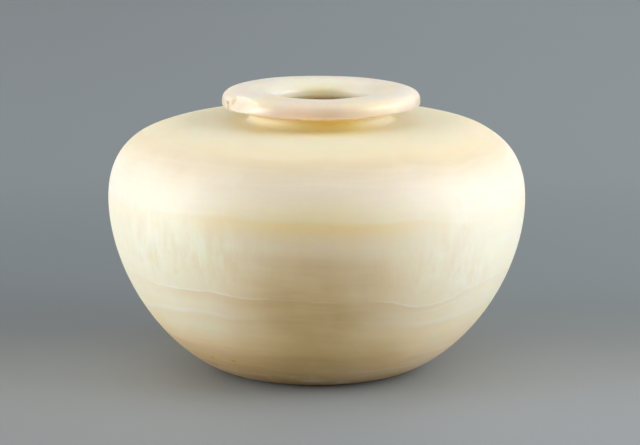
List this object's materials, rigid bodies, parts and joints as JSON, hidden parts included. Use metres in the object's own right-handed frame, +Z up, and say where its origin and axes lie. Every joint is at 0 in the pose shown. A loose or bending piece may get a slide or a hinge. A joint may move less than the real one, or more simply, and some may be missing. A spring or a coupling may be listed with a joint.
{
  "type": "stone jar",
  "caption": "Squat, broad-shouldered stone jar carved in one piece, with a narrow mouth, short neck groove, rolled lip, small flat foot and a hollow body.",
  "frame": {"origin": "centre of the flat underside", "axes": "+Z up through the mouth, -Y towards the pictured front, +X to the right of that front"},
  "size_m": [0.22, 0.22, 0.1486],
  "materials": {
    "banded_calcite": "hand-polished translucent calcite, cream with level tan bands and fine pale veins, worn satin with a few pits"
  },
  "bodies": {
    "root": {"jar": "banded_calcite"}
  },
  "joints": []
}
